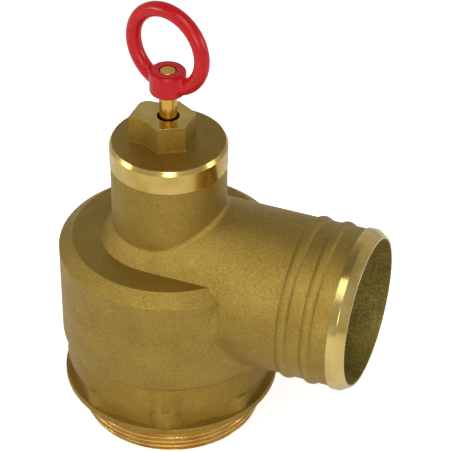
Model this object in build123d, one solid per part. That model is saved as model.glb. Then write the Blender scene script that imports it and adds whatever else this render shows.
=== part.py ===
from build123d import *
import os
from math import cos, pi, sqrt

# Angle-pattern safety valve in cast brass: a screwed inlet adapter with its seat, a cast body
# with a side outlet for a hose, a spring-loaded disc, an adjusting cap and a pull ring for testing.
# The origin is the centre of the flange's underside, +Z runs up the stem, +X out of the outlet.

# Clearances
press_gap = 0.02
thread_gap = 0.10
running_gap = 0.08
seal_gap = 0.05
rest_gap = 0.30

# Inlet adapter
inlet_thread_d = 75.184
inlet_thread_len = 16.0
inlet_bore_d = 63.0
flange_d = 89.6
flange_h = 2.8
octagon_af = 82.0
octagon_corner_d = 87.6
octagon_h = 7.3
octagon_turn = -72.5
collar_d = 86.0
collar_h = 12.6
spigot_d = 79.0
spigot_len = 4.4
seat_lip_d = 69.0
seat_lip_h = 2.8
flange_edge = 0.5
face_groove_d = 81.8
face_ring_wire = 1.5

# Cast body
body_d = 90.2
body_foot_inset = 1.8
body_foot_h = 2.9
body_side_h = 43.1
shoulder_drop = 4.4
shoulder_flat_d = 79.0
casting_wall = 3.8
outlet_rise = 31.6
outlet_d = 64.4
outlet_reach = 85.2
outlet_root_wall = 3.6
outlet_mouth_wall = 2.5
mouth_bore_len = 14.8
bead_step = 1.1
bead_w = 4.6
bead_x = (59.6, 69.6)
end_band_step = 0.8
end_band_x = 78.4
end_band_w = 3.2
mouth_lip = 0.4
neck_d = 46.3
neck_bore_d = 40.4
neck_top_z = 105.3
neck_fillet = 2.2

# Adjusting cap
cap_band_d = 46.9
cap_band_h = 8.3
cap_top_d = 45.0
cap_chamfer_h = 1.8
cap_skirt_len = 12.5
cap_skirt_wall = 2.7
boss_af = 19.0
boss_turn = -30.0
boss_h = 11.1
boss_lug_reach = 13.9
boss_lug_w = 13.8
boss_lug_round = 4.0
boss_inner_round = 4.0
boss_hole_d = 9.0
cap_groove_h = 2.2
cap_ring_wire = 1.5

# Guide bush and its ring
bush_d = 12.0
bush_len = 11.6
bush_ring_h = 1.2
bush_ring_d = 13.8

# Stem
stem_d = 7.0
stem_tail_d = 8.0
stem_shoulder_d = 14.0
stem_shoulder_h = 3.0
stem_tail_drop = 6.0
stem_top_recess = 0.2

# Disc, seal and retainer
seal_d = 71.0
seal_bore_d = 55.0
seal_t = 3.5
disc_d = 74.0
disc_rim_lift = 1.0
disc_top_t = 4.5
retainer_flange_d = 61.8
retainer_flange_t = 3.0
wing_d = 62.4
wing_t = 3.0
wing_len = 21.0
wing_count = 4
wing_turn = 45.0
retainer_hub_d = 17.0

# Nut, washer and cotter pin
washer_d = 16.0
washer_t = 1.6
nut_af = 13.0
nut_h = 7.6
nut_slot_w = 2.4
nut_slot_h = 3.2
nut_slot_count = 3
cotter_d = 1.9
cotter_len = 19.0
cotter_eye_d = 4.4

# Spring and its plates
spring_mean_d = 28.0
spring_wire_d = 3.8
spring_turns = 7.5
spring_plate_d = 35.0
spring_plate_t = 2.6
spring_plate_hub_d = 23.0
spring_plate_hub_h = 3.0
top_plate_d = 32.6
thrust_washer_d = 24.0
thrust_washer_t = 1.2
clip_d = 12.4
clip_t = 1.2

# Pull ring
hub_d = 14.4
hub_bottom_z = 137.4
hub_h = 9.9
ring_centre_z = 156.7
ring_mean_d = 32.8
ring_wire_d = 6.0
ring_turn = -15.0
hub_round = 1.3
ring_web_round = 1.6
lock_pin_d = 2.5
lock_pin_cover = 1.4

# Heights that follow from the sizes above
octagon_z = flange_h
collar_z = octagon_z + octagon_h
joint_z = collar_z + collar_h
spigot_z = joint_z + spigot_len
seat_z = spigot_z + seat_lip_h
seal_top_z = seat_z + seal_t
disc_top_z = seal_top_z + disc_top_t
stem_shoulder_z = disc_top_z + stem_shoulder_h
outlet_z = joint_z + outlet_rise
body_foot_d = body_d - 2 * body_foot_inset
foot_top_z = joint_z + body_foot_h
outlet_root_bore_d = outlet_d - 2 * outlet_root_wall
outlet_mouth_bore_d = outlet_d - 2 * outlet_mouth_wall
end_band_d = outlet_d + 2 * end_band_step
hub_top_z = hub_bottom_z + hub_h
stem_top_z = hub_top_z - stem_top_recess
side_top_z = joint_z + body_side_h
shoulder_z = side_top_z + shoulder_drop
cap_band_z = neck_top_z
cap_chamfer_z = cap_band_z + cap_band_h
cap_top_z = cap_chamfer_z + cap_chamfer_h
boss_top_z = cap_top_z + boss_h
lower_plate_z = stem_shoulder_z
spring_bottom_z = lower_plate_z + spring_plate_t
thrust_top_z = cap_band_z
thrust_bottom_z = thrust_top_z - thrust_washer_t
upper_plate_z = thrust_bottom_z - spring_plate_t
spring_top_z = upper_plate_z
retainer_bottom_z = seat_z - retainer_flange_t - wing_len
stem_bottom_z = retainer_bottom_z - washer_t - nut_h - stem_tail_drop / 3


def cyl(d, z0, z1):
    """A cylinder of diameter d on the valve's axis from z0 up to z1."""
    return Pos(0, 0, (z0 + z1) / 2) * Cylinder(d / 2, z1 - z0)


def ring_of(d, bore, z0, z1):
    """A flat ring on the valve's axis."""
    return cyl(d, z0, z1) - cyl(bore, z0 - 1, z1 + 1)


def hex_bar(af, turn, z0, z1):
    """A six-sided bar of width af across its flats, one corner at the angle turn."""
    corner_r = af / 2 / cos(pi / 6)
    return Pos(0, 0, z0) * extrude(RegularPolygon(corner_r, 6, rotation=turn), z1 - z0)


def spun(points):
    """A solid of revolution about the valve's axis from (radius, height) points."""
    outline = make_face(Plane.XZ * Polyline(*points, close=True))
    return revolve(outline, Axis.Z)


def make_adapter():
    """Inlet adapter: male thread, flange, wrench octagon, collar, spigot and seat lip."""
    corner_r = octagon_af / 2 / cos(pi / 8)
    octagon = Pos(0, 0, octagon_z) * extrude(RegularPolygon(corner_r, 8, rotation=octagon_turn), octagon_h)
    octagon = octagon & cyl(octagon_corner_d, octagon_z, collar_z)
    flange = chamfer(cyl(flange_d, 0, flange_h).edges().filter_by(GeomType.CIRCLE), flange_edge)
    thread = cyl(inlet_thread_d, -inlet_thread_len, 0)
    thread = chamfer(thread.edges().filter_by(GeomType.CIRCLE).sort_by(Axis.Z)[0], 1.0)
    solid = thread + flange + octagon
    solid += cyl(collar_d, collar_z, joint_z)
    solid += cyl(spigot_d, joint_z, spigot_z)
    solid += cyl(seat_lip_d, spigot_z, seat_z)
    solid -= cyl(inlet_bore_d, -inlet_thread_len - 1, seat_z + 1)
    groove_w = face_ring_wire + 2 * seal_gap
    solid -= ring_of(face_groove_d + groove_w, face_groove_d - groove_w, joint_z - groove_w, joint_z + 0.01)
    return solid


def make_face_ring():
    """Seal ring in the adapter's face groove, under the body's foot."""
    centre_z = joint_z - seal_gap - face_ring_wire / 2
    return Pos(0, 0, centre_z) * Torus(face_groove_d / 2, face_ring_wire / 2)


def outlet_outline():
    """Half section of the outlet branch about its own axis: a dome at the back, two rounded
    beads and a machined end band with a curved lead-in to the mouth."""
    r = outlet_d / 2
    band_r = end_band_d / 2
    band_end = end_band_x + end_band_w
    mouth_r = outlet_mouth_bore_d / 2 + mouth_lip
    with BuildSketch(Plane.XZ) as section:
        with BuildLine():
            CenterArc((0, 0), r, 90, 90)
            Line((-r, 0), (0, 0))
            Line((0, 0), (outlet_reach, 0))
            Line((outlet_reach, 0), (outlet_reach, mouth_r))
            TangentArc((band_end, band_r), (outlet_reach, mouth_r), tangent=(1, 0))
            Line((band_end, band_r), (end_band_x, band_r))
            Line((end_band_x, band_r), (end_band_x, r))
            Line((end_band_x, r), (0, r))
        make_face()
        for x in bead_x:
            with BuildLine():
                bead = ThreePointArc((x - bead_w / 2, r), (x, r + bead_step), (x + bead_w / 2, r))
                Line(bead @ 1, (x + bead_w / 2, r - 1))
                Line((x + bead_w / 2, r - 1), (x - bead_w / 2, r - 1))
                Line((x - bead_w / 2, r - 1), bead @ 0)
            make_face()
    return section.sketch


def farthest(edge):
    """Largest distance of a point on the edge from the valve's axis."""
    return max(sqrt(p.X ** 2 + p.Y ** 2) for p in (edge @ 0, edge @ 0.5, edge @ 1))


def make_body():
    """Cast body: round chamber, domed saddle running into the side outlet, and the neck."""
    foot_r = body_foot_d / 2
    body_r = body_d / 2
    with BuildSketch(Plane.XZ) as section:
        with BuildLine():
            Line((0, joint_z), (foot_r, joint_z))
            TangentArc((body_r, foot_top_z), (foot_r, joint_z), tangent=(0, -1))
            Line((body_r, foot_top_z), (body_r, side_top_z))
            Line((body_r, side_top_z), (shoulder_flat_d / 2, shoulder_z))
            Line((shoulder_flat_d / 2, shoulder_z), (0, shoulder_z))
            Line((0, shoulder_z), (0, joint_z))
        make_face()
    drum = revolve(section.sketch, Axis.Z)
    branch_axis = Axis((0, 0, outlet_z), (1, 0, 0))
    branch = revolve(Pos(0, 0, outlet_z) * outlet_outline(), branch_axis)
    neck = cyl(neck_d, outlet_z, neck_top_z)
    upper = branch + neck
    around = neck_d / 2 + 0.1
    neck_edges = [e for e in upper.edges() if shoulder_z < e.center().Z < neck_top_z - neck_fillet]
    neck_edges = [e for e in neck_edges if farthest(e) < around]
    upper = fillet(neck_edges, neck_fillet)
    solid = drum + upper
    solid -= cyl(body_d, joint_z - 5, joint_z)

    chamber_r = body_d / 2 - casting_wall
    bore_r = spigot_d / 2 + press_gap
    roof_r = shoulder_flat_d / 2 - casting_wall
    solid -= spun([
        (0, joint_z - 1),
        (bore_r, joint_z - 1),
        (bore_r, spigot_z),
        (chamber_r, spigot_z + 1),
        (chamber_r, side_top_z - casting_wall / 2),
        (roof_r, shoulder_z - casting_wall),
        (0, shoulder_z - casting_wall),
    ])
    root_r = outlet_root_bore_d / 2
    mouth_r = outlet_mouth_bore_d / 2
    with BuildSketch(Plane.XZ) as passage:
        with BuildLine():
            CenterArc((0, 0), root_r, 90, 90)
            Line((-root_r, 0), (outlet_reach + 1, 0))
            Line((outlet_reach + 1, 0), (outlet_reach + 1, mouth_r))
            Line((outlet_reach + 1, mouth_r), (outlet_reach - mouth_bore_len, mouth_r))
            Line((outlet_reach - mouth_bore_len, mouth_r), (0, root_r))
        make_face()
    solid -= revolve(Pos(0, 0, outlet_z) * passage.sketch, branch_axis)
    solid -= cyl(neck_bore_d, outlet_z, neck_top_z + 1)
    return solid


def make_cap():
    """Adjusting cap: threaded skirt, turned band, six-sided boss with one rounded lug."""
    skirt_d = neck_bore_d - 2 * thread_gap
    skirt_bottom = cap_band_z - cap_skirt_len
    skirt = ring_of(skirt_d, skirt_d - 2 * cap_skirt_wall, skirt_bottom, cap_band_z + 0.5)
    head = spun([
        (0, cap_band_z),
        (cap_band_d / 2, cap_band_z),
        (cap_band_d / 2, cap_chamfer_z),
        (cap_top_d / 2, cap_top_z),
        (0, cap_top_z),
    ])
    hexagon = RegularPolygon(boss_af / 2 / cos(pi / 6), 6, rotation=boss_turn)
    lug = Pos(-boss_lug_reach / 2, 0) * Rectangle(boss_lug_reach, boss_lug_w)
    plan = hexagon + lug
    lug_sides = [v for v in plan.vertices() if abs(abs(v.Y) - boss_lug_w / 2) < 0.01]
    inner_corners = [v for v in lug_sides if v.X > -boss_af / 2]
    plan = fillet(inner_corners, boss_inner_round)
    far_corner = plan.vertices().sort_by(Axis.X)[:2].sort_by(Axis.Y)[-1]
    plan = fillet(far_corner, boss_lug_round)
    boss = Pos(0, 0, cap_top_z - 1) * extrude(plan, boss_h + 1)
    solid = skirt + head + boss
    ring_top = cap_band_z - 1.0
    groove_floor = skirt_d - 2 * (cap_ring_wire - thread_gap + seal_gap)
    solid -= ring_of(skirt_d + 1, groove_floor, ring_top - cap_groove_h, ring_top)
    bush_top = cap_band_z + bush_ring_h + 1.0 + bush_len
    solid -= cyl(bush_d + 2 * press_gap, cap_band_z - 1, bush_top)
    ring_z = cap_band_z + 1.0
    solid -= cyl(bush_ring_d + 2 * press_gap, ring_z, ring_z + bush_ring_h)
    solid -= cyl(boss_hole_d, bush_top - 1, boss_top_z + 1)
    return solid


def make_cap_ring():
    """Seal ring in the groove of the cap's skirt."""
    centre_z = cap_band_z - 1.0 - cap_groove_h / 2
    centre_r = neck_bore_d / 2 - seal_gap - cap_ring_wire / 2
    return Pos(0, 0, centre_z) * Torus(centre_r, cap_ring_wire / 2)


def make_guide_bush():
    """Plain bush that guides the stem in the cap."""
    bottom = cap_band_z + 1.0 + bush_ring_h
    return ring_of(bush_d, stem_d + 2 * running_gap, bottom, bottom + bush_len)


def make_bush_ring():
    """Snap ring under the guide bush, open on one side."""
    bottom = cap_band_z + 1.0
    ring = ring_of(bush_ring_d, bush_d - 2.4, bottom, bottom + bush_ring_h)
    return ring - Pos(bush_ring_d / 2, 0, bottom) * Box(bush_ring_d, 2.0, 6)


def stem_groove_z():
    """Height of the stem's seal groove, in the upper part of the guide bush."""
    return cap_band_z + 1.0 + bush_ring_h + bush_len * 0.6


def make_stem():
    """Stem: threaded tail, shoulder over the disc, long shank and seal groove."""
    solid = cyl(stem_tail_d, stem_bottom_z, disc_top_z + 0.5)
    solid += cyl(stem_shoulder_d, disc_top_z, stem_shoulder_z)
    solid += cyl(stem_d, stem_shoulder_z - 0.5, stem_top_z)
    solid = chamfer(solid.edges().filter_by(GeomType.CIRCLE).sort_by(Axis.Z)[-1], 0.6)
    groove_z = stem_groove_z()
    solid -= ring_of(stem_d + 1, stem_d - 2.0, groove_z - 0.6, groove_z + 0.6)
    clip_z = clip_bottom_z()
    solid -= ring_of(stem_d + 1, stem_d - 1.6, clip_z - seal_gap, clip_z + clip_t + seal_gap)
    hole_len = stem_tail_d + 1
    cross = Rot(90, 0, 0) * Cylinder(cotter_d / 2 + seal_gap, hole_len)
    solid -= Rot(0, 0, ring_turn) * Pos(0, 0, cotter_z()) * cross
    solid -= lock_pin_hole()
    return solid


def clip_bottom_z():
    """Underside of the stem clip, just above the lower spring plate's hub."""
    return spring_bottom_z + spring_plate_hub_h + rest_gap


def make_stem_clip():
    """Open retaining clip in the stem's groove."""
    bottom = clip_bottom_z()
    ring = ring_of(clip_d, stem_d - 1.6 + 2 * press_gap, bottom, bottom + clip_t)
    return ring - Pos(clip_d / 2, 0, bottom) * Box(clip_d, stem_d - 2.4, 6)


def make_stem_ring():
    """Seal ring in the stem's groove, running in the guide bush."""
    wire_r = 0.5
    return Pos(0, 0, stem_groove_z()) * Torus(stem_d / 2 - wire_r, wire_r)


def make_seal():
    """Flat rubber seal under the disc, resting on the seat lip."""
    return ring_of(seal_d, seal_bore_d, seat_z, seal_top_z)


def make_disc():
    """Valve disc with a recess for the seal and a raised centre for the stem's shoulder."""
    rim_z = seat_z + disc_rim_lift
    bore_r = stem_tail_d / 2 + press_gap
    recess_r = seal_d / 2 + press_gap
    edge_r = disc_d / 2
    return spun([
        (bore_r, seal_top_z),
        (recess_r, seal_top_z),
        (recess_r, rim_z),
        (edge_r, rim_z),
        (edge_r, seal_top_z + 1.0),
        (edge_r - 3.0, seal_top_z + 2.2),
        (stem_shoulder_d, disc_top_z),
        (bore_r, disc_top_z),
    ])


def make_retainer():
    """Seal retainer with four guide wings that slide in the inlet bore."""
    flange_z = seat_z - retainer_flange_t
    solid = cyl(retainer_flange_d, flange_z, seat_z)
    solid += cyl(seal_bore_d - 2 * press_gap, seat_z - 0.5, seal_top_z)
    solid += cyl(retainer_hub_d, retainer_bottom_z, flange_z + 0.5)
    wing_h = flange_z - retainer_bottom_z
    wings = Part() + [
        Rot(0, 0, wing_turn + i * 360 / wing_count)
        * Pos(wing_d / 4, 0, retainer_bottom_z + wing_h / 2)
        * Box(wing_d / 2, wing_t, wing_h + 1)
        for i in range(wing_count)
    ]
    wings = wings & cyl(wing_d, retainer_bottom_z, flange_z + 0.4)
    solid += wings
    solid -= cyl(stem_tail_d + 2 * press_gap, retainer_bottom_z - 1, seal_top_z + 1)
    return solid


def make_washer():
    """Plain washer between the retainer's hub and the castle nut."""
    return ring_of(washer_d, stem_tail_d + 2 * press_gap, retainer_bottom_z - washer_t, retainer_bottom_z)


def nut_top_z():
    """Upper face of the castle nut."""
    return retainer_bottom_z - washer_t


def cotter_z():
    """Height of the cotter pin, inside the castle nut's slots."""
    return nut_top_z() - nut_h + nut_slot_h - cotter_d / 2 - seal_gap


def make_castle_nut():
    """Castle nut with its slots facing down."""
    top = nut_top_z()
    solid = hex_bar(nut_af, 0, top - nut_h, top)
    solid -= cyl(stem_tail_d + 2 * press_gap, top - nut_h - 1, top + 1)
    slot_z = top - nut_h + nut_slot_h / 2
    for i in range(nut_slot_count):
        turn = ring_turn + 90 + i * 180 / nut_slot_count
        solid -= Rot(0, 0, turn) * Pos(0, 0, slot_z) * Box(nut_af * 2, nut_slot_w, nut_slot_h + 0.002)
    return solid


def make_cotter():
    """Cotter pin: a straight shank with a round eye at one end."""
    shank = Rot(90, 0, 0) * Cylinder(cotter_d / 2, cotter_len)
    eye_y = -cotter_len / 2 - cotter_eye_d / 2 + cotter_d / 2
    eye = Pos(0, eye_y, 0) * Rot(0, 90, 0) * Torus(cotter_eye_d / 2, cotter_d / 2 - 0.1)
    return Rot(0, 0, ring_turn) * Pos(0, 0, cotter_z()) * (shank + eye)


def make_lower_plate():
    """Lower spring plate: sits on the stem's shoulder and centres the spring."""
    solid = cyl(spring_plate_d, lower_plate_z, spring_bottom_z)
    solid += cyl(spring_plate_hub_d, spring_bottom_z - 0.5, spring_bottom_z + spring_plate_hub_h)
    top_edge = solid.edges().filter_by(GeomType.CIRCLE).sort_by(Axis.Z)[-1]
    solid = chamfer(top_edge, 0.8)
    return solid - cyl(stem_d + 2 * running_gap, lower_plate_z - 1, clip_bottom_z())


def make_upper_plate():
    """Upper spring plate: centres the spring under the cap."""
    hub_bottom = upper_plate_z - spring_plate_hub_h
    solid = cyl(top_plate_d, upper_plate_z, thrust_bottom_z)
    solid += cyl(spring_plate_hub_d, hub_bottom, upper_plate_z + 0.5)
    low_edge = solid.edges().filter_by(GeomType.CIRCLE).sort_by(Axis.Z)[0]
    solid = chamfer(low_edge, 0.8)
    return solid - cyl(stem_d + 2 * running_gap, hub_bottom - 1, thrust_bottom_z + 1)


def make_thrust_washer():
    """Low-friction washer between the upper plate and the cap."""
    return ring_of(thrust_washer_d, stem_d + 2 * running_gap, thrust_bottom_z, thrust_top_z)


def make_spring():
    """Helical lift spring with its ends ground flat against the two plates."""
    wire_r = spring_wire_d / 2
    coil_len = spring_top_z - spring_bottom_z
    pitch = coil_len / spring_turns
    path = Helix(pitch, coil_len, spring_mean_d / 2)
    start = Plane(origin=path @ 0, z_dir=path % 0)
    coil = sweep(start * Circle(wire_r), path=path, is_frenet=True)
    coil = Pos(0, 0, spring_bottom_z) * coil
    outer = spring_mean_d + 2 * spring_wire_d
    return coil & cyl(outer, spring_bottom_z, spring_top_z)


def lock_pin_hole():
    """Blind cross hole for the ring's locking pin, open on the ring's back face."""
    depth = hub_d - lock_pin_cover
    shift = Pos(0, lock_pin_cover / 2, hub_bottom_z + hub_h / 2)
    return Rot(0, 0, ring_turn) * shift * Rot(90, 0, 0) * Cylinder(lock_pin_d / 2 + press_gap, depth + 0.01)


def make_pull_ring():
    """Pull ring: a round eye grown out of a short hub, bored for the stem."""
    hub = cyl(hub_d, hub_bottom_z, hub_top_z)
    hub = fillet(hub.edges().filter_by(GeomType.CIRCLE), hub_round)
    eye = Rot(90, 0, 0) * Torus(ring_mean_d / 2, ring_wire_d / 2)
    eye = Pos(0, 0, ring_centre_z) * Rot(0, 0, ring_turn) * eye
    solid = hub + eye
    joins = [e for e in solid.edges() if e.geom_type not in (GeomType.LINE, GeomType.CIRCLE)]
    solid = fillet(joins, ring_web_round)
    solid -= cyl(stem_d + 2 * press_gap, hub_bottom_z - 1, hub_top_z + 1)
    return solid - lock_pin_hole()


def make_lock_pin():
    """Pin that locks the ring's hub to the stem."""
    depth = hub_d - lock_pin_cover - 0.6
    shift = Pos(0, lock_pin_cover / 2 - 0.3, hub_bottom_z + hub_h / 2)
    return Rot(0, 0, ring_turn) * shift * Rot(90, 0, 0) * Cylinder(lock_pin_d / 2, depth)


pieces = {
    "valve_body": make_body(),
    "inlet_adapter": make_adapter(),
    "adapter_seal_ring": make_face_ring(),
    "adjusting_cap": make_cap(),
    "cap_seal_ring": make_cap_ring(),
    "guide_bush": make_guide_bush(),
    "bush_snap_ring": make_bush_ring(),
    "stem": make_stem(),
    "stem_clip": make_stem_clip(),
    "stem_seal_ring": make_stem_ring(),
    "valve_disc": make_disc(),
    "disc_seal": make_seal(),
    "seal_retainer": make_retainer(),
    "retainer_washer": make_washer(),
    "castle_nut": make_castle_nut(),
    "cotter_pin": make_cotter(),
    "lower_spring_plate": make_lower_plate(),
    "upper_spring_plate": make_upper_plate(),
    "thrust_washer": make_thrust_washer(),
    "lift_spring": make_spring(),
    "pull_ring": make_pull_ring(),
    "ring_lock_pin": make_lock_pin(),
}

os.makedirs("parts", exist_ok=True)
for name, shape in pieces.items():
    export_step(shape, "parts/" + name + ".step")
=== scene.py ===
import math
import bmesh
import bpy
import numpy as np
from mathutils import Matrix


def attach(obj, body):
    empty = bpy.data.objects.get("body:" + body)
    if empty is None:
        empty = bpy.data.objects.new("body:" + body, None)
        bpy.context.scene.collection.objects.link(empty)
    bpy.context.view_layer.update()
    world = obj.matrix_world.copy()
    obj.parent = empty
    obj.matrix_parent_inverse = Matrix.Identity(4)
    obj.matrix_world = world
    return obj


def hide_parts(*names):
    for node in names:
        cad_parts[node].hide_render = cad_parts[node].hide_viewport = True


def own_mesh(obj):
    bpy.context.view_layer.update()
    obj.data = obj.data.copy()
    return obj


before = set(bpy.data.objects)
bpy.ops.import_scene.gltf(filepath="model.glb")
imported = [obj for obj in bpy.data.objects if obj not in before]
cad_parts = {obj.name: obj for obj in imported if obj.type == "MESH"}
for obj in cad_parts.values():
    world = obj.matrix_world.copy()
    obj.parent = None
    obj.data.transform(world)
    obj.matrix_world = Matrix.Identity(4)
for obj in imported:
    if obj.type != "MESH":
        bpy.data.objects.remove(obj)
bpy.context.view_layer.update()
scene = bpy.context.scene
scene.view_settings.view_transform = "Standard"

# Camera. It stands to the right of the valve's front, above it, with a long lens, and the frame
# is shifted a little so that the valve sits where the photograph has it.
eye = bpy.data.objects.new("camera", bpy.data.cameras.new("camera"))
scene.collection.objects.link(eye)
eye.location = (0.2481, -0.5747, 0.5385)
eye.rotation_euler = (math.radians(90 - 36.66), 0, math.radians(22.03))
eye.data.lens = 153.7
eye.data.sensor_width = 36
eye.data.shift_x, eye.data.shift_y = 0.0454, 0.0014
eye.data.clip_start, eye.data.clip_end = 0.01, 50
scene.camera = eye


# Studio. A pale matt table under white walls that grow darker towards the ceiling, one soft
# lamp at each side and a weaker one over the camera. Turned metal shows them as bright bars.
def hue(code):
    """Linear red, green, blue and alpha of an sRGB hex colour: values above 0.04045 follow
    ((c + 0.055) / 1.055) to the power 2.4, darker ones are divided by 12.92."""
    c = np.array([int(code[i:i + 2], 16) for i in (0, 2, 4)]) / 255
    lin = np.where(c > 0.04045, ((c + 0.055) / 1.055) ** 2.4, c / 12.92)
    return (*lin.tolist(), 1.0)


def node(tree, kind, values=None, links=None, **settings):
    """Adds one node: settings are its own properties, values fill its input sockets and
    links joins an output socket to each named input."""
    made = tree.nodes.new(kind)
    for key, value in settings.items():
        setattr(made, key, value)
    for key, value in (values or {}).items():
        made.inputs[key].default_value = value
    for key, source in (links or {}).items():
        tree.links.new(source, made.inputs[key])
    return made


def material(name):
    """A new material with its node tree cleared, and the tree."""
    made = bpy.data.materials.new(name)
    made.use_nodes = True
    made.node_tree.nodes.clear()
    return made, made.node_tree


def ramp(tree, source, stops):
    """The colours of stops, pairs of a position and a hex colour, read at the socket source."""
    made = node(tree, "ShaderNodeValToRGB", links={0: source})
    while len(made.color_ramp.elements) < len(stops):
        made.color_ramp.elements.new(0.5)
    for element, (place, code) in zip(made.color_ramp.elements, stops):
        element.position = place
        element.color = hue(code)
    return made.outputs[0]


world = bpy.data.worlds.new("studio")
scene.world = world
world.use_nodes = True
sky = world.node_tree
sky.nodes.clear()
toward = node(sky, "ShaderNodeSeparateXYZ", links={0: node(sky, "ShaderNodeTexCoord").outputs["Generated"]})
walls = ramp(sky, toward.outputs["Z"], [(0.0, "e6e6e4"), (0.6, "d2d2d0"), (0.8, "a4a4a2"), (1.0, "929290")])
rays = node(sky, "ShaderNodeLightPath")
white = node(sky, "ShaderNodeBackground", {"Color": hue("ffffff"), "Strength": 1.0})
room = node(sky, "ShaderNodeBackground", {"Strength": 0.8}, {"Color": walls})
seen = node(sky, "ShaderNodeMixShader", links={
    0: rays.outputs["Is Camera Ray"], 1: room.outputs[0], 2: white.outputs[0]})
node(sky, "ShaderNodeOutputWorld", links={0: seen.outputs[0]})


def lamp(name, place, aim, size, power):
    """A square lamp at place, turned to face aim."""
    made = bpy.data.objects.new(name, bpy.data.lights.new(name, "AREA"))
    scene.collection.objects.link(made)
    made.data.size = size
    made.data.energy = power
    made.location = place
    away = np.array(aim) - np.array(place)
    flat = math.hypot(away[0], away[1])
    made.rotation_euler = (math.atan2(flat, -away[2]), 0, math.atan2(-away[0], away[1]))
    return made


lamp("left_lamp", (-0.72, -0.44, 0.34), (0, 0, 0.08), 0.22, 1.7)
lamp("right_lamp", (0.80, 0.22, 0.34), (0.02, 0, 0.07), 0.22, 1.4)
lamp("front_lamp", (0.35, -0.80, 0.38), (0.02, 0, 0.06), 0.24, 2.0)
lamp("top_lamp", (0.12, -0.42, 0.85), (0.02, 0, 0.06), 0.50, 3.0)

table_z = -0.016
reach = 3.0
table_mesh = bpy.data.meshes.new("table")
table_mesh.from_pydata(
    [(-reach, -reach, table_z), (reach, -reach, table_z), (reach, reach, table_z), (-reach, reach, table_z)],
    [], [(0, 1, 2, 3)])
table = bpy.data.objects.new("table", table_mesh)
scene.collection.objects.link(table)
table_paint, tree = material("matt_white_board")
rays = node(tree, "ShaderNodeLightPath")
board = node(tree, "ShaderNodeBsdfDiffuse", {"Color": hue("fbfbfb")})
glow = node(tree, "ShaderNodeEmission", {"Color": hue("ffffff"), "Strength": 0.55})
lit = node(tree, "ShaderNodeAddShader", links={0: board.outputs[0], 1: glow.outputs[0]})
pick = node(tree, "ShaderNodeMixShader", links={
    0: rays.outputs["Is Camera Ray"], 1: board.outputs[0], 2: lit.outputs[0]})
node(tree, "ShaderNodeOutputMaterial", links={0: pick.outputs[0]})
table_mesh.materials.append(table_paint)


# Inlet adapter. A brass casting screwed up into the body: the G 2 1/2 thread and the flange are
# turned on a lathe, and the octagon for the wrench keeps its blasted casting skin.
def cast_brass(tree, spot, stops, rough, metal=1.0):
    """Shot-blasted cast brass: a dull gold metal whose colour follows stops from hollow to
    crest, with 0.4 mm and 1 mm dents from the shot, faint 12 mm clouds from handling and
    edges worn round to 0.4 mm."""
    fine = node(tree, "ShaderNodeTexNoise", {"Scale": 2400.0, "Detail": 2.0, "Roughness": 0.6}, {"Vector": spot})
    coarse = node(tree, "ShaderNodeTexNoise", {"Scale": 1000.0, "Detail": 3.0, "Roughness": 0.6}, {"Vector": spot})
    cloud = node(tree, "ShaderNodeTexNoise", {"Scale": 80.0, "Detail": 3.0, "Roughness": 0.5}, {"Vector": spot})
    skin = node(tree, "ShaderNodeMix", {0: 0.5}, {2: coarse.outputs[0], 3: fine.outputs[0]})
    tone = node(tree, "ShaderNodeMix", {0: 0.28}, {2: skin.outputs[0], 3: cloud.outputs[0]})
    worn = node(tree, "ShaderNodeBevel", {"Radius": 0.0004}, samples=4)
    dent = node(tree, "ShaderNodeBump", {"Strength": 1.0, "Distance": 0.00045}, {
        "Height": skin.outputs[0], "Normal": worn.outputs[0]})
    shine = node(tree, "ShaderNodeMapRange", {1: 0.35, 2: 0.65, 3: rough + 0.10, 4: rough - 0.12}, {0: skin.outputs[0]})
    return node(tree, "ShaderNodeBsdfPrincipled", {"Metallic": metal}, {
        "Base Color": ramp(tree, tone.outputs[0], stops), "Roughness": shine.outputs[0],
        "Normal": dent.outputs[0]}).outputs[0]


def turned_brass(tree, spot, axis, stops, rough):
    """Lathe-turned brass: bright gold with 0.25 mm tool lines that run round the axis, drawn
    coarser than the real feed marks so that they show, and faint stains."""
    along = node(tree, "ShaderNodeSeparateXYZ", links={0: spot}).outputs[axis]
    line = node(tree, "ShaderNodeTexNoise", {"Scale": 2200.0, "Detail": 1.0}, {"W": along}, noise_dimensions="1D")
    stain = node(tree, "ShaderNodeTexNoise", {"Scale": 80.0, "Detail": 4.0}, {"Vector": spot})
    eased = node(tree, "ShaderNodeBevel", {"Radius": 0.0003}, samples=4)
    mark = node(tree, "ShaderNodeBump", {"Strength": 0.12, "Distance": 0.00005}, {
        "Height": line.outputs[0], "Normal": eased.outputs[0]})
    shine = node(tree, "ShaderNodeMapRange", {1: 0.3, 2: 0.7, 3: rough - 0.05, 4: rough + 0.07}, {0: stain.outputs[0]})
    return node(tree, "ShaderNodeBsdfPrincipled", {"Metallic": 1.0}, {
        "Base Color": ramp(tree, stain.outputs[0], stops), "Roughness": shine.outputs[0],
        "Normal": mark.outputs[0]}).outputs[0]


def compare(tree, value, limit, operation):
    """A mask that is 1 where value is over, or under, limit and 0 elsewhere."""
    return node(tree, "ShaderNodeMath", {1: limit}, {0: value}, operation=operation).outputs[0]


def either(tree, first, second, operation):
    """Two masks joined: MINIMUM keeps where both are 1, MAXIMUM where at least one is."""
    return node(tree, "ShaderNodeMath", links={0: first, 1: second}, operation=operation).outputs[0]


def finish_of(tree, mask, where_0, where_1):
    """Ends the material: the shader where_0, with where_1 shown where the mask is 1."""
    both = node(tree, "ShaderNodeMixShader", links={0: mask, 1: where_0, 2: where_1})
    node(tree, "ShaderNodeOutputMaterial", links={0: both.outputs[0]})


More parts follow.
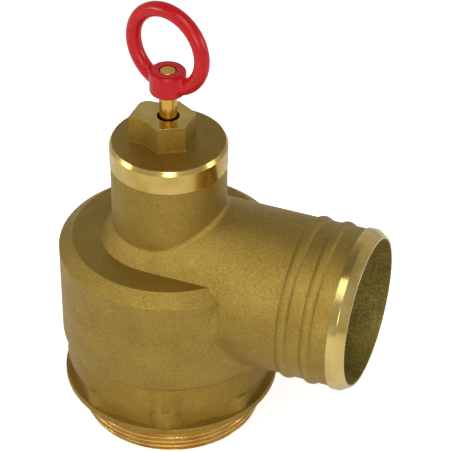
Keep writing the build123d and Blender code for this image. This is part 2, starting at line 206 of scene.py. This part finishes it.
def piece(name, points, faces, paint, body, stands_for):
    """A closed mesh made from arrays of points and faces, put on a body of the frame. The
    faces are turned outwards if the sum of point . (next x last) over them is negative."""
    loops = np.concatenate([f.reshape(-1) for f in faces])
    sizes = np.concatenate([np.full(len(f), f.shape[1]) for f in faces])
    starts = np.concatenate([[0], np.cumsum(sizes)[:-1]])
    a, b, c = (points[loops[starts + k]] for k in (0, 1, 2))
    volume = np.einsum("ij,ij->", a, np.cross(b, c))
    quads = sizes == 4
    d = points[loops[starts[quads] + 3]]
    volume += np.einsum("ij,ij->", a[quads], np.cross(c[quads], d))
    mesh = bpy.data.meshes.new(name)
    mesh.vertices.add(len(points))
    mesh.vertices.foreach_set("co", points.astype(np.float32).ravel())
    mesh.loops.add(len(loops))
    mesh.loops.foreach_set("vertex_index", loops.astype(np.int32))
    mesh.polygons.add(len(sizes))
    mesh.polygons.foreach_set("loop_start", starts.astype(np.int32))
    mesh.polygons.foreach_set("use_smooth", np.ones(len(sizes), bool))
    mesh.update(calc_edges=True)
    mesh.validate()
    if volume < 0:
        mesh.flip_normals()
    mesh.set_sharp_from_angle(angle=math.radians(32))
    mesh.materials.append(paint)
    made = bpy.data.objects.new(name, mesh)
    scene.collection.objects.link(made)
    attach(made, body)
    if stands_for:
        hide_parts(stands_for)
    return made


def woven(rows, columns, wrap_rows=True):
    """Quads of a grid of points in rows and columns, closed round the columns and, if
    wrap_rows, from the last row to the first: each joins i, j to its next neighbours."""
    i = np.arange(rows if wrap_rows else rows - 1)[:, None]
    j = np.arange(columns)[None, :]
    k, l = (i + 1) % rows, (j + 1) % columns
    return np.stack([i * columns + j, i * columns + l, k * columns + l, k * columns + j], -1).reshape(-1, 4)


adapter_brass, tree = material("cast_brass_with_turned_thread")
spot = node(tree, "ShaderNodeTexCoord").outputs["Object"]
height = node(tree, "ShaderNodeSeparateXYZ", links={0: spot}).outputs["Z"]
finish_of(tree, compare(tree, height, -0.0001, "LESS_THAN"),
          cast_brass(tree, spot, [(0.3, "836824"), (0.7, "ae8f44")], 0.48),
          # The thread's turned brass is paler than the other turned brass. It is real turned brass, lightened further
          # as painted light that makes the whole thread look brightly lit and fills the shade in its grooves.
          turned_brass(tree, spot, "Z", [(0.3, "d0aa5c"), (0.7, "ecd08c")], 0.26))

thread_pitch, thread_depth, thread_r, thread_end = 2.309, 1.479, 37.592, -16.0
flat_r, corner_r, collar_r, flange_r = 41.0, 43.8, 43.0, 44.8
flat_turn = math.radians(-70.5 + 22.5)
broken = np.radians([20.6, 17.55])
eighths = np.arange(8) * math.pi / 4 + flat_turn
extra = (eighths[:, None] + np.concatenate([broken, -broken])).ravel() % (2 * math.pi)
around = np.sort(np.concatenate([np.arange(336) * 2 * math.pi / 336, extra]))
off_flat = (around - flat_turn + math.pi / 8) % (math.pi / 4) - math.pi / 8
octagon = np.minimum(flat_r / np.cos(off_flat), corner_r)


def adapter_rings():
    """Radius and height over the angle, row by row up the outside and back down the bore. The
    thread's rows wave in and out once a pitch and climb one pitch a turn, fading at both ends."""
    turn = np.ones_like(around)
    up = np.arange(thread_end + 0.9, -1.9, 0.125)[:, None]
    phase = (up / thread_pitch - around / (2 * math.pi)) % 1.0
    tooth = np.clip(1.45 * (1 - 4 * np.abs(phase - 0.5)), -1, 1)
    tooth = np.sin(tooth * math.pi / 2)
    fade = np.clip((-1.9 - up) / 1.6, 0, 1) * np.clip((up - thread_end - 0.4) / 1.2, 0, 1)
    waves = thread_r - thread_depth / 2 * (1 - tooth) * np.minimum(fade * 1.4, 1)
    rows = [(31.5 * turn, thread_end + 0.6), (32.1 * turn, thread_end),
            (35.6 * turn, thread_end), (36.1 * turn, thread_end + 0.15)]
    rows += [(w, z) for w, z in zip(waves, up[:, 0])]
    root = thread_r - thread_depth
    rows += [(root * turn, -1.7), (root * turn, -0.3), ((root + 0.3) * turn, 0.0), (42.0 * turn, 0.0)]
    rows += [((flange_r - 0.5) * turn, 0.0), ((flange_r - 0.15) * turn, 0.12), (flange_r * turn, 0.5)]
    rows += [(flange_r * turn, 2.3), ((flange_r - 0.15) * turn, 2.68), ((flange_r - 0.5) * turn, 2.8)]
    rows += [((octagon + 0.35), 2.8), ((octagon + 0.1), 2.9), (octagon, 3.15)]
    rows += [(octagon, 9.7), (octagon * 0.75 + collar_r * 0.25, 10.0), ((octagon + collar_r) / 2, 10.1)]
    rows += [(octagon * 0.2 + collar_r * 0.8, 10.12), (collar_r * turn, 10.3), (collar_r * turn, 22.3)]
    rows += [((collar_r - 0.12) * turn, 22.58), ((collar_r - 0.4) * turn, 22.7)]
    rows += [(41.7 * turn, 22.7), (41.7 * turn, 21.1), (40.1 * turn, 21.1), (40.1 * turn, 22.7)]
    rows += [(39.5 * turn, 22.7), (39.5 * turn, 26.9), (39.3 * turn, 27.1), (34.5 * turn, 27.1)]
    rows += [(34.5 * turn, 29.5), (34.2 * turn, 29.9), (31.8 * turn, 29.9), (31.5 * turn, 29.6)]
    wide = np.array([r for r, z in rows]) / 1000
    tall = np.array([z for r, z in rows])[:, None] / 1000 + np.zeros_like(wide)
    return np.stack([wide * np.cos(around), wide * np.sin(around), tall], -1)


grid = adapter_rings()
piece("inlet_adapter_turned", grid.reshape(-1, 3), [woven(*grid.shape[:2])], adapter_brass,
      "valve", "inlet_adapter")


# Seal rings. Moulded nitrile rubber, black and slightly dusty: one under the body's foot, one
# in the cap's skirt, one on the stem, and the flat seal that closes on the seat.
def dress(name, paint):
    """Puts one material on a CAD node."""
    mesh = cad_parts[name].data
    mesh.materials.clear()
    mesh.materials.append(paint)


rubber, tree = material("moulded_nitrile_rubber")
spot = node(tree, "ShaderNodeTexCoord").outputs["Object"]
dust = node(tree, "ShaderNodeTexNoise", {"Scale": 700.0, "Detail": 5.0}, {"Vector": spot})
grit = node(tree, "ShaderNodeBump", {"Strength": 0.2, "Distance": 0.00005}, {"Height": dust.outputs[0]})
dull = node(tree, "ShaderNodeMapRange", {1: 0.3, 2: 0.7, 3: 0.48, 4: 0.66}, {0: dust.outputs[0]})
mat = node(tree, "ShaderNodeBsdfPrincipled", links={
    "Base Color": ramp(tree, dust.outputs[0], [(0.35, "161616"), (0.75, "2b2a28")]),
    "Roughness": dull.outputs[0], "Normal": grit.outputs[0]})
node(tree, "ShaderNodeOutputMaterial", links={0: mat.outputs[0]})
for name in ("adapter_seal_ring", "cap_seal_ring", "stem_seal_ring", "disc_seal"):
    dress(name, rubber)


# Valve body. One sand casting in brass, shot-blasted outside and rough inside the outlet; only
# the end band and lip of the outlet are turned bright. It screws down on the adapter's spigot.
body_brass, tree = material("cast_brass_with_turned_band")
spot = node(tree, "ShaderNodeTexCoord").outputs["Object"]
axes = node(tree, "ShaderNodeSeparateXYZ", links={0: spot})
over_axis = node(tree, "ShaderNodeMath", {1: 0.0543}, {0: axes.outputs["Z"]}, operation="SUBTRACT")
off_axis = node(tree, "ShaderNodeCombineXYZ", links={"Y": axes.outputs["Y"], "Z": over_axis.outputs[0]})
radius = node(tree, "ShaderNodeVectorMath", links={0: off_axis.outputs[0]}, operation="LENGTH").outputs["Value"]
at_end = compare(tree, axes.outputs["X"], 0.0783, "GREATER_THAN")
outside = compare(tree, radius, 0.0299, "GREATER_THAN")
bored = compare(tree, radius, 0.0299, "LESS_THAN")
in_bore = either(tree, bored, compare(tree, axes.outputs["X"], 0.0, "GREATER_THAN"), "MINIMUM")
skin = node(tree, "ShaderNodeMixShader", links={
    0: in_bore, 1: cast_brass(tree, spot, [(0.3, "866c2a"), (0.7, "b3984e")], 0.50),
    2: cast_brass(tree, spot, [(0.35, "5a4c1e"), (0.65, "b4a252")], 0.66, 0.8)}).outputs[0]
finish_of(tree, either(tree, at_end, outside, "MINIMUM"), skin,
          turned_brass(tree, spot, "X", [(0.3, "bfa052"), (0.7, "dcc47e")], 0.20))


def casting_copy(name, stands_for, paint, body):
    """A copy of a CAD node's mesh with its loose triangles joined, as a new piece."""
    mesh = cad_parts[stands_for].data.copy()
    mesh.name = name
    work = bmesh.new()
    work.from_mesh(mesh)
    bmesh.ops.remove_doubles(work, verts=work.verts, dist=2e-6)
    work.to_mesh(mesh)
    work.free()
    if mesh.has_custom_normals:
        mesh.attributes.remove(mesh.attributes["custom_normal"])
    mesh.materials.clear()
    mesh.materials.append(paint)
    mesh.polygons.foreach_set("use_smooth", np.ones(len(mesh.polygons), bool))
    made = bpy.data.objects.new(name, mesh)
    scene.collection.objects.link(made)
    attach(made, body)
    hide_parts(stands_for)
    return made


outlet_z, band_start, band_end, mouth_x = 0.0543, 0.0784, 0.0816, 0.0852
band_r, lip_r, bore_r = 0.0330, 0.0307, 0.0297
casting = casting_copy("valve_body_casting", "valve_body", body_brass, "valve")
points = np.empty(len(casting.data.vertices) * 3, np.float32)
casting.data.vertices.foreach_get("co", points)
points = points.reshape(-1, 3).astype(float)
x, across, over = points[:, 0], points[:, 1], points[:, 2] - outlet_z
wide = np.hypot(across, over)
lead = (x > band_end - 1e-5) & (wide > bore_r + 2e-4)
cone = band_r + (lip_r - band_r) * (x - band_end) / (mouth_x - band_end)
scale = np.where(lead, cone / np.maximum(wide, 1e-6), 1.0)
points[:, 1] *= scale
points[:, 2] = outlet_z + over * scale
casting.data.vertices.foreach_set("co", points.astype(np.float32).ravel())
casting.data.update()
casting.data.set_sharp_from_angle(angle=math.radians(24))


def junction(side):
    """The soft corner where the drum meets the outlet, cast in one with them. A ball rolls down
    the corner: its centre is one ball radius outside both cylinders, and the arc between its
    two touching points is the skin. The ball grows from nothing to 5 mm under the shoulder."""
    drum_r, pipe_r = 0.0451, 0.0322
    turn = np.radians(np.linspace(69.6, 147.0, 60))[:, None]
    grown = np.clip((turn - turn[0]) / math.radians(24), 0, 1)
    ball = 0.0055 * (grown * grown * (3 - 2 * grown)) + 2e-5
    y = (pipe_r + ball) * np.sin(turn)
    x = np.sqrt((drum_r + ball) ** 2 - y ** 2)
    z = outlet_z + (pipe_r + ball) * np.cos(turn)
    to_drum = -np.concatenate([x, y, 0 * x], 1) / (drum_r + ball)
    to_pipe = -np.concatenate([0 * x, np.sin(turn), np.cos(turn)], 1)
    t = np.linspace(0, 1, 14)[None, :, None]
    way = to_drum[:, None] * (1 - t) + to_pipe[:, None] * t
    way /= np.linalg.norm(way, axis=2)[..., None]
    skin = np.concatenate([x, y, z], 1)[:, None] + ball[:, None] * way * 1.004
    inner = np.concatenate([x, y, z], 1) + ball * (to_drum + to_pipe) + 0.0004 * (to_drum + to_pipe)
    loop = np.concatenate([skin, inner[:, None]], 1)
    loop[..., 2] = np.maximum(loop[..., 2], 0.02275)
    loop[..., 1] *= side
    return loop


for side, name in ((-1, "outlet_junction_front"), (1, "outlet_junction_back")):
    loop = junction(side)
    rows, columns = loop.shape[:2]
    first = np.arange(columns)[None, ::-1]
    last = first[:, ::-1] + (rows - 1) * columns
    piece(name, loop.reshape(-1, 3), [woven(rows, columns, False), first, last],
          body_brass, "valve", None)


# Disc and its guide. Turned from brass bar: the disc carries the seal, the retainer's four
# wings slide in the inlet bore, and a castle nut with a cotter pin holds them on the stem.
bar_brass, tree = material("turned_brass_bar")
spot = node(tree, "ShaderNodeTexCoord").outputs["Object"]
bright = turned_brass(tree, spot, "Z", [(0.3, "c39338"), (0.7, "e0b765")], 0.20)
node(tree, "ShaderNodeOutputMaterial", links={0: bright})
for name in ("valve_disc", "seal_retainer", "castle_nut", "guide_bush",
             "lower_spring_plate", "upper_spring_plate", "stem"):
    dress(name, bar_brass)


# Small steel. The cotter pin and the washer are stainless, blanked and tumbled; the clip, the
# snap ring and the ring's lock pin are hardened spring steel with a thin oil film.
def steel(name, stops, rough):
    """Drawn or tumbled steel: grey metal clouded at 4 mm, with 0.4 mm scratches and pits."""
    made, tree = material(name)
    spot = node(tree, "ShaderNodeTexCoord").outputs["Object"]
    cloud = node(tree, "ShaderNodeTexNoise", {"Scale": 250.0, "Detail": 3.0}, {"Vector": spot})
    pits = node(tree, "ShaderNodeTexNoise", {"Scale": 2500.0, "Detail": 3.0}, {"Vector": spot})
    mark = node(tree, "ShaderNodeBump", {"Strength": 0.15, "Distance": 0.00004}, {"Height": pits.outputs[0]})
    shine = node(tree, "ShaderNodeMapRange", {1: 0.3, 2: 0.7, 3: rough - 0.06, 4: rough + 0.08}, {0: cloud.outputs[0]})
    metal = node(tree, "ShaderNodeBsdfPrincipled", {"Metallic": 1.0}, {
        "Base Color": ramp(tree, cloud.outputs[0], stops), "Roughness": shine.outputs[0],
        "Normal": mark.outputs[0]})
    node(tree, "ShaderNodeOutputMaterial", links={0: metal.outputs[0]})
    return made


stainless = steel("tumbled_stainless_steel", [(0.3, "a9a9a6"), (0.7, "cfcfcb")], 0.30)
for name in ("cotter_pin", "retainer_washer"):
    dress(name, stainless)
spring_steel = steel("oiled_spring_steel", [(0.3, "6f6f70"), (0.7, "97979a")], 0.26)
for name in ("stem_clip", "bush_snap_ring", "ring_lock_pin"):
    dress(name, spring_steel)


# Lift spring. Seven and a half turns of drawn 3.8 mm steel wire with both ends ground flat,
# held between the two brass plates; the real spring shortens by the lift of the disc, but this one is a rigid piece
# carried on the spring's top.
def coil(mean_r, wire_r, low, high, turns):
    """A tube round a helix: the centre goes round at mean_r and climbs evenly from low to
    high, each ring stands across the path, and heights outside low to high are cut flat."""
    t = np.linspace(0, turns * 2 * math.pi, int(turns * 48) + 1)
    climb = (high - low) / t[-1]
    centre = np.stack([mean_r * np.cos(t), mean_r * np.sin(t), low + climb * t], -1)
    out = np.stack([np.cos(t), np.sin(t), 0 * t], -1)
    along = np.stack([-mean_r * np.sin(t), mean_r * np.cos(t), climb + 0 * t], -1)
    along /= np.linalg.norm(along, axis=1)[:, None]
    side = np.cross(along, out)
    a = np.arange(20) * 2 * math.pi / 20
    ring = out[:, None] * np.cos(a)[:, None] + side[:, None] * np.sin(a)[:, None]
    tube = centre[:, None] + wire_r * ring
    tube[..., 2] = np.clip(tube[..., 2], low, high)
    return tube


tube = coil(0.014, 0.0019, 0.0435, 0.1015, 7.5)
rows, columns = tube.shape[:2]
start_cap = np.arange(columns)[None, ::-1]
end_cap = start_cap[:, ::-1] + (rows - 1) * columns
spring = piece("lift_spring_wire", tube.reshape(-1, 3), [woven(rows, columns, False), start_cap, end_cap],
               spring_steel, "spring_top", "lift_spring")
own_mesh(spring)


# Thrust washer. Natural acetal, moulded, between the upper plate and the turning cap.
acetal, tree = material("natural_acetal")
spot = node(tree, "ShaderNodeTexCoord").outputs["Object"]
flow = node(tree, "ShaderNodeTexNoise", {"Scale": 300.0, "Detail": 3.0}, {"Vector": spot})
wave = node(tree, "ShaderNodeBump", {"Strength": 0.1, "Distance": 0.00005}, {"Height": flow.outputs[0]})
plastic = node(tree, "ShaderNodeBsdfPrincipled", {"Roughness": 0.38, "Subsurface Weight": 0.0}, {
    "Base Color": ramp(tree, flow.outputs[0], [(0.3, "d9d5c9"), (0.7, "e8e5db")]),
    "Normal": wave.outputs[0]})
node(tree, "ShaderNodeOutputMaterial", links={0: plastic.outputs[0]})
dress("thrust_washer", acetal)


# Adjusting cap. Cast brass, its band, chamfer and skirt turned bright and the top of the boss
# polished flat; it screws into the neck, and more turns down load the spring more.
cap_brass, tree = material("cast_brass_with_turned_rim")
spot = node(tree, "ShaderNodeTexCoord").outputs["Object"]
height = node(tree, "ShaderNodeSeparateXYZ", links={0: spot}).outputs["Z"]
rim = compare(tree, height, 0.11538, "LESS_THAN")
boss_top = compare(tree, height, 0.12645, "GREATER_THAN")
finish_of(tree, either(tree, rim, boss_top, "MAXIMUM"),
          cast_brass(tree, spot, [(0.3, "866a28"), (0.7, "ae9146")], 0.46),
          turned_brass(tree, spot, "Z", [(0.3, "b8964a"), (0.7, "d6ba70")], 0.20))
dress("adjusting_cap", cap_brass)


# Pull ring. A brass casting dipped in glossy red enamel and pinned to the stem; the thick coat
# rounds every edge and has a faint orange-peel surface.
enamel, tree = material("glossy_red_enamel")
spot = node(tree, "ShaderNodeTexCoord").outputs["Object"]
peel = node(tree, "ShaderNodeTexNoise", {"Scale": 500.0, "Detail": 2.0}, {"Vector": spot})
cloud = node(tree, "ShaderNodeTexNoise", {"Scale": 120.0, "Detail": 3.0}, {"Vector": spot})
skin = node(tree, "ShaderNodeBump", {"Strength": 0.10, "Distance": 0.0002}, {"Height": peel.outputs[0]})
shine = node(tree, "ShaderNodeMapRange", {1: 0.3, 2: 0.7, 3: 0.22, 4: 0.34}, {0: cloud.outputs[0]})
gloss = node(tree, "ShaderNodeBsdfPrincipled", {"Specular IOR Level": 0.3}, {
    "Base Color": ramp(tree, cloud.outputs[0], [(0.3, "a8070c"), (0.7, "b60a10")]),
    "Roughness": shine.outputs[0], "Normal": skin.outputs[0]})
node(tree, "ShaderNodeOutputMaterial", links={0: gloss.outputs[0]})
dress("pull_ring", enamel)
